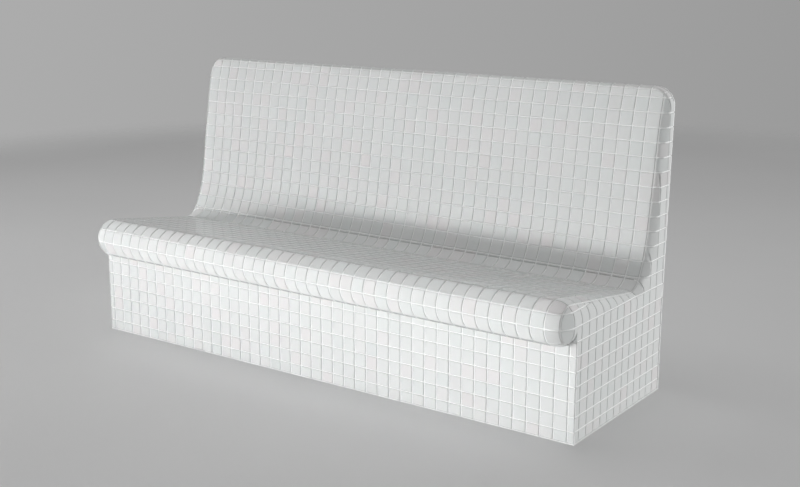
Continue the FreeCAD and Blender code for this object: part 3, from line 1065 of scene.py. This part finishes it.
# %% The rear of the back
rear_run = rear_y(overall_height) - plinth_depth
slant = math.hypot(body_height, rear_run)
rear_rows = math.ceil(body_height / pitch)
lean = np.array([0, rear_run / slant, body_height / slant])
inward = (0, -lean[2], lean[1])
rear_tiles = laid_tiles(2 * half_length, slant, first_column, pitch, columns + 2, rear_rows)
rear_field = joined(rear_tiles, slab(2 * half_length, slant, joint_depth))
shaving = 0.05 * MM
cuts = [(np.array([0, 0, slant - shaving]), lean)]
corner_fan = np.radians(np.linspace(5, 85, 9))
for side, x in ((-1, crest_corner_radius), (1, 2 * half_length - crest_corner_radius)):
    centre = np.array([x, 0, slant - crest_corner_radius])
    for angle in corner_fan:
        out = np.array([math.cos(angle) * side, 0, math.sin(angle)])
        cuts.append((centre + out * crest_corner_radius, out))
rear_field = stood(trimmed(rear_field, cuts), (-1, 0, 0), inward, lean,
                   (half_length, plinth_depth, plinth_height))
dress("back_rear_tiling", rear_field, tiled, 31, "back_rear_mosaic")

# %% [markdown]
# ## Finishes
#
# The glaze is a thin layer of glass over a white clay tile. It is smooth, with a faint waviness
# from firing, and each tile differs a little: some lean to rose, some to a cold green. The joints
# are filled with white cement grout, which is matt and grainy.
#
# Patterns read Object coordinates, in metres, so that they stay with the object. What two or more
# finishes share, such as a fine grain, is a node group that gives back a value from 0 to 1.

# %% A shared grain
def vector_calc(tree, operation, *terms):
    """A Vector Math node; its result is a number for a length or a distance, or else a vector."""
    made = add(tree, "ShaderNodeVectorMath", dict(enumerate(terms)), operation=operation).outputs
    return made["Value" if operation in ("LENGTH", "DISTANCE") else "Vector"]


def place_on(tree, kind="Object"):
    """Where a point of the surface lies, in the object's own coordinates or in another kind."""
    return add(tree, "ShaderNodeTexCoord").outputs[kind]


def grain_group():
    """Fine noise, as a value from 0 to 1 that changes over the surface."""
    tree, given, result = new_group(
        "grain", "ShaderNodeTree", {"Scale": "Float", "Detail": "Float", "Stretch": "Vector"},
        {"Value": "Float"})
    stretched = vector_calc(tree, "MULTIPLY", place_on(tree), given["Stretch"])
    noise = add(tree, "ShaderNodeTexNoise",
                {"Vector": stretched, "Scale": given["Scale"], "Detail": given["Detail"]})
    tree.links.new(noise.outputs[0], result["Value"])
    return tree


grain = grain_group()


def grain_in(tree, scale, detail=3.0, stretch=(1, 1, 1)):
    """The shared grain in a material, at a scale of its own."""
    values = {"Scale": scale, "Detail": detail, "Stretch": stretch}
    return add(tree, "ShaderNodeGroup", values, node_tree=grain).outputs["Value"]


takes = [item.name for item in grain.interface.items_tree if item.in_out == "INPUT"]
print("the grain takes:", takes)

# %% Helpers for finishes
def shade(tree, value, stops):
    """Colours for a value: stops are pairs of a place and a colour."""
    ramp = add(tree, "ShaderNodeValToRGB", {"Fac": value})
    band = ramp.color_ramp
    while len(band.elements) < len(stops):
        band.elements.new(0.5)
    for element, (place, colour) in zip(band.elements, stops):
        element.position = place
        element.color = (*colour, 1)
    return ramp.outputs["Color"]


def surface(name, **constants):
    """A material with its tree and its shader, and with plain values set on the shader."""
    material = bpy.data.materials.get(name) or bpy.data.materials.new(name)
    material.use_nodes = True
    tree = material.node_tree
    tree.nodes.clear()
    shader = add(tree, "ShaderNodeBsdfPrincipled")
    for label, value in constants.items():
        shader.inputs[label].default_value = value
    tree.links.new(shader.outputs[0], add(tree, "ShaderNodeOutputMaterial").inputs["Surface"])
    return material, tree, shader


def painted(tree, shader, value, stops, roughness=None):
    """Colours a shader by a value, and varies its roughness between two limits by it."""
    tree.links.new(shade(tree, value, stops), shader.inputs["Base Color"])
    if roughness:
        tree.links.new(ranged(tree, value, *roughness), shader.inputs["Roughness"])


def bumped(tree, shader, height, distance):
    """Gives a surface a fine relief."""
    bump = add(tree, "ShaderNodeBump", {"Height": height, "Distance": distance, "Strength": 1.0})
    tree.links.new(bump.outputs[0], shader.inputs["Normal"])


def ranged(tree, value, low, high):
    """A value from 0 to 1 spread between two limits."""
    spread = {"Value": value, "To Min": low, "To Max": high}
    return add(tree, "ShaderNodeMapRange", spread).outputs[0]


# %% The glaze and the grout
ROSE, WHITE, GREEN = (0.713, 0.70, 0.70), (0.70, 0.713, 0.708), (0.684, 0.708, 0.702)

_, tree, shader = surface(glaze.name)
tint = add(tree, "ShaderNodeAttribute", attribute_name="tint").outputs["Fac"]
painted(tree, shader, tint, [(0.0, ROSE), (0.3, WHITE), (0.62, WHITE), (1.0, GREEN)])
tree.links.new(ranged(tree, grain_in(tree, 18.0), 0.10, 0.22), shader.inputs["Roughness"])
bumped(tree, shader, grain_in(tree, 70.0, 1.0), 0.15 * MM)

_, tree, shader = surface(grout.name, Roughness=0.85)
speckle = grain_in(tree, 900.0)
painted(tree, shader, speckle, [(0.3, (0.84, 0.85, 0.845)), (0.7, (0.90, 0.91, 0.905))])
bumped(tree, shader, speckle, 0.25 * MM)

_, tree, shader = surface(sealant.name, Roughness=0.34)
cloud = grain_in(tree, 60.0)
painted(tree, shader, cloud, [(0.3, (0.84, 0.85, 0.845)), (0.7, (0.88, 0.89, 0.885))])
bumped(tree, shader, grain_in(tree, 120.0, 1.0), 0.2 * MM)
print("tiling finishes:", glaze.name, grout.name, sealant.name)

# %% [markdown]
# ## The hidden build-up
#
# Under the tiles lie the pieces that a fitter puts together: a plywood frame with softwood rails,
# cement-faced boards, foam cut to the form, a coat of mortar, steel angles and staples. They keep
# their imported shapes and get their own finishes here. Mortar and board are grey, grainy and matt.
# Foam shows its cells. Plywood shows long grain on its faces and thin dark and light plies on its
# edges, so each board says along which axis its plies are stacked. Softwood has been sawn from a
# trunk, so its rings are drawn round an axis outside the rail. Zinc-plated steel has a faint
# spangle.

# %% Mortar, board and foam
def earthy(name, dark, light, scale, depth, stretch=(1, 1, 1)):
    """A matt mineral finish: broad clouds, fine sand and an uneven surface."""
    material, tree, shader = surface(name)
    clouds = grain_in(tree, scale, 4.0, stretch)
    sand = grain_in(tree, scale * 40)
    both = calc(tree, "MULTIPLY", clouds, sand)
    painted(tree, shader, both, [(0.12, dark), (0.4, light)])
    tree.links.new(ranged(tree, sand, 0.75, 0.95), shader.inputs["Roughness"])
    bumped(tree, shader, both, depth)
    return material


mortar = earthy("mortar", (0.42, 0.42, 0.40), (0.62, 0.62, 0.59), 9.0, 1.2 * MM, (1, 4, 4))
cement_board = earthy("cement_board", (0.40, 0.41, 0.41), (0.57, 0.58, 0.57), 30.0, 0.4 * MM)


def celled(tree, scale, output):
    """Cells over the piece, as the distance to a cell's middle or as a colour for each cell."""
    values = {"Vector": place_on(tree), "Scale": scale}
    return add(tree, "ShaderNodeTexVoronoi", values).outputs[output]


foam, tree, shader = surface("rigid_foam")
cells = celled(tree, 600.0, "Distance")
painted(tree, shader, cells, [(0.0, (0.48, 0.62, 0.72)), (0.7, (0.66, 0.78, 0.85))], (0.55, 0.75))
bumped(tree, shader, cells, 0.3 * MM)
print("mineral finishes and foam:", mortar.name, cement_board.name, foam.name)

# %% Plywood
ply = 1.5 * MM
streak_along, streak_across = 2.0, 26.0
face_limit = 0.7


def axis_of(tree, vector, axis):
    """One of the three numbers of a vector."""
    return add(tree, "ShaderNodeSeparateXYZ", {0: vector}).outputs[axis]


def plywood(axis):
    """Plywood with its plies stacked along an axis (0, 1 or 2)."""
    material, tree, shader = surface("plywood_" + "xyz"[axis])
    stretch = [streak_across] * 3
    stretch[(axis + 1) % 3] = streak_along
    streaks = grain_in(tree, 1.0, 6.0, tuple(stretch))
    face = shade(tree, streaks, [(0.3, (0.55, 0.40, 0.25)), (0.55, (0.72, 0.56, 0.38)),
                                 (0.75, (0.80, 0.66, 0.48))])
    across = axis_of(tree, place_on(tree), axis)
    bands = calc(tree, "SINE", calc(tree, "MULTIPLY", across, math.pi / ply))
    edge = shade(tree, ranged(tree, bands, -0.4, 1.2),
                 [(0.25, (0.42, 0.29, 0.17)), (0.6, (0.74, 0.58, 0.40))])
    facing = calc(tree, "ABSOLUTE", axis_of(tree, place_on(tree, "Normal"), axis))
    on_face = calc(tree, "GREATER_THAN", facing, face_limit)
    mixed = add(tree, "ShaderNodeMix", {0: on_face, 6: edge, 7: face}, data_type="RGBA")
    tree.links.new(mixed.outputs[2], shader.inputs["Base Color"])
    tree.links.new(ranged(tree, streaks, 0.45, 0.65), shader.inputs["Roughness"])
    bumped(tree, shader, streaks, 0.2 * MM)
    return material


stacked = [plywood(axis) for axis in range(3)]
print("plywood:", [material.name for material in stacked])

# %% Softwood
ring_width = 4 * MM
heart = (0, 60 * MM, 100 * MM)


def softwood():
    """Rails sawn along X: rings round an axis outside the rail, bent a little by noise."""
    material, tree, shader = surface("softwood")
    flat = vector_calc(tree, "MULTIPLY", place_on(tree), (0.02, 1, 1))
    radius = vector_calc(tree, "LENGTH", vector_calc(tree, "ADD", flat, heart))
    bend = ranged(tree, grain_in(tree, 3.0, 2.0, (0.4, 2, 2)), 0, ring_width)
    rings = calc(tree, "MODULO", calc(tree, "ADD", radius, bend), ring_width)
    ring = calc(tree, "DIVIDE", rings, ring_width)
    pale = (0.80, 0.65, 0.45)
    painted(tree, shader, ring, [(0.0, pale), (0.75, (0.70, 0.50, 0.30)),
                                 (0.97, (0.55, 0.35, 0.19)), (1.0, pale)], (0.5, 0.7))
    bumped(tree, shader, ring, 0.15 * MM)
    return material


timber = softwood()
print("rings of", timber.name, "are", ring_width, "wide")

# %% Zinc, and a finish for every node
def zinc():
    """Zinc plate: a metal whose crystals differ a little in tone."""
    material, tree, shader = surface("zinc_plate", Metallic=1.0)
    tone = axis_of(tree, celled(tree, 260.0, "Color"), 0)
    greys = [(0.0, (0.60, 0.61, 0.63)), (1.0, (0.76, 0.77, 0.78))]
    painted(tree, shader, tone, greys, (0.25, 0.45))
    bumped(tree, shader, grain_in(tree, 700.0), 0.05 * MM)
    return material


finishes = {"base_coat": mortar, "backer_board": cement_board, "foam": foam, "softwood": timber,
            "zinc_steel": zinc(), "sealant": sealant, "mosaic": glaze}
stack_axes = {"seat_deck": 2, "back_top_board": 2, "back_facing_board": 1, "back_rail": 1}
for row in frame["record"]["subparts"]:
    name, kind = row["node"], row["material_slot"]
    material = stacked[stack_axes.get(name, 0)] if kind == "plywood" else finishes[kind]
    for place in frame["nodes"][name].material_slots:
        place.material = material

# %% [markdown]
# ## Floor, light and camera
#
# The bench stands on a plain pale floor, a disc that fades out before its rim, so that no edge
# shows from any side. Two rows of low lamps in front, all turned the same way from the left, make
# the front the brightest side and leave the seat, which faces up, quieter. A faint glow from just
# above the floor stands for the light that a wide floor throws back. Panels on the left, overhead
# and behind soften the rest, a far one low on the right lights the end, and a dim sky fills what is
# left. The low lamps and the one on the right stand close to the floor and would leave bright
# patches on it, so the floor is spared by them, and the glaze doesn't mirror them.

# %% Floor
floor_middle = (-0.6, 1.6, 0)
floor_fades, floor_ends = 4.2, 5.9
floor_sides = 64


def floor_sheet():
    """A round floor that fades into the backdrop."""
    mesh = bpy.data.meshes.new("studio_floor")
    turns = np.linspace(0, 2 * math.pi, floor_sides, endpoint=False)
    edge = [Vector(floor_middle) + floor_ends * Vector((math.cos(turn), math.sin(turn), 0))
            for turn in turns]
    mesh.from_pydata(edge, [], [list(range(floor_sides))])
    material, tree, shader = surface("floor_paint", Roughness=0.7)
    greys = [(0.3, (0.76, 0.76, 0.76)), (0.7, (0.78, 0.78, 0.78))]
    painted(tree, shader, grain_in(tree, 0.8), greys)
    away = vector_calc(tree, "DISTANCE", place_on(tree), floor_middle)
    fade = add(tree, "ShaderNodeMapRange",
               {"Value": away, "From Min": floor_fades, "From Max": floor_ends,
                "To Min": 1.0, "To Max": 0.0}, interpolation_type="SMOOTHSTEP")
    tree.links.new(fade.outputs[0], shader.inputs["Alpha"])
    mesh.materials.append(material)
    return placed("studio_floor", mesh)


floor = floor_sheet()
print("floor:", 2 * floor_ends, "across")

# %% Lamps
spared = bpy.data.collections.new("spared_by_low_lamps")
spared.objects.link(floor)
spared.collection_objects[0].light_linking.link_state = "EXCLUDE"


def lamp(name, place, target, size, power, low=False, spread=math.pi):
    """A soft oblong lamp that faces a target; low ones spare the floor and aren't mirrored."""
    light = bpy.data.lights.new(name, "AREA")
    light.shape = "RECTANGLE"
    light.size, light.size_y = size
    light.energy = power
    light.spread = spread
    thing = placed(name, light)
    thing.location = place
    thing.rotation_euler = (Vector(target) - Vector(place)).to_track_quat("-Z", "Y").to_euler()
    if low:
        thing.visible_glossy = False
        thing.light_linking.receiver_collection = spared


row_lamps = 8


def low_row(name, first, aim, step, reach, size, power, spread=math.pi):
    """A row of low lamps in front, turned the same way: each aims a reach to its right."""
    for number in range(row_lamps):
        place = Vector(first) + Vector((number * step, 0, 0))
        lamp(name + str(number), place, (place.x + reach, 0, aim), size, power, True, spread)


low_row("low_near_", (-5.4, -2.5, 0.24), aim=0.9, step=0.9, reach=2.98,
        size=(0.85, 0.32), power=4.6)
low_row("low_beam_", (-7.0, -3.4, 0.3), aim=0.05, step=1.1, reach=4.05,
        size=(1.05, 0.35), power=2.6, spread=0.65)
lamp("floor_glow", (-0.6, -1.2, 0.02), (-0.6, -1.2, 1), size=(3.6, 0.6), power=11, low=True)
lamp("left_panel", (-4.0, -1.0, 3.0), (0, 0, 0.5), size=(2.5, 2.5), power=22)
lamp("top_panel", (0, -0.5, 4.5), (0, 0, 0.4), size=(4.0, 2.0), power=21)
lamp("rear_top_panel", (0, 2.5, 3.5), (0, 0, 0.4), size=(4.0, 2.0), power=12)
lamp("right_panel", (6.6, 4.7, 0.6), (1.07, 0.1, 0.5), size=(3.6, 0.9), power=350, low=True)
print("lamps:", len(bpy.data.lights))

# %% [markdown]
# The sky lights the bench evenly, but what is seen of it, directly or mirrored in the glaze, is a
# grey backdrop that darkens from left to right.

# %% Sky
sky_strength = 0.375
backdrop_left, backdrop_right = 0.42, 0.33
left_way, right_way = -0.85, -0.3

world = bpy.data.worlds.new("dim_sky")
bpy.context.scene.world = world
world.use_nodes = True
tree = world.node_tree
tree.nodes.clear()
rays = add(tree, "ShaderNodeLightPath").outputs
seen = calc(tree, "MAXIMUM", rays["Is Camera Ray"], rays["Is Glossy Ray"])
seen = calc(tree, "MAXIMUM", seen, rays["Is Transmission Ray"])
sideways = axis_of(tree, place_on(tree, "Generated"), 0)
backdrop = add(tree, "ShaderNodeMapRange",
               {"Value": sideways, "From Min": left_way, "From Max": right_way,
                "To Min": backdrop_left, "To Max": backdrop_right}).outputs[0]
light = add(tree, "ShaderNodeBackground", {"Color": (1, 1, 1, 1), "Strength": sky_strength})
shown = add(tree, "ShaderNodeBackground", {"Color": (1, 1, 1, 1), "Strength": backdrop})
mixed = add(tree, "ShaderNodeMixShader", {0: seen, 1: light.outputs[0], 2: shown.outputs[0]})
tree.links.new(mixed.outputs[0], add(tree, "ShaderNodeOutputWorld").inputs["Surface"])
print("sky strength:", sky_strength, "backdrop:", backdrop_left, "to", backdrop_right)

# %% [markdown]
# The camera's place, turn and lens were fitted to the outline of the bench and to its joints, so
# the picture lies over the photo.

# %% Camera
camera_place = (2.74615, -3.5649, 1.5146)
camera_dip, camera_turn = 13.28, 35.67
camera_lens, sensor_width = 55.18, 36

camera = placed("camera", bpy.data.cameras.new("camera"))
camera.location = camera_place
camera.rotation_euler = (math.radians(90 - camera_dip), 0, math.radians(camera_turn))
camera.data.lens = camera_lens
camera.data.sensor_width = sensor_width
bpy.context.scene.camera = camera
bpy.context.scene.view_settings.view_transform = "Standard"
print("camera at", camera_place)
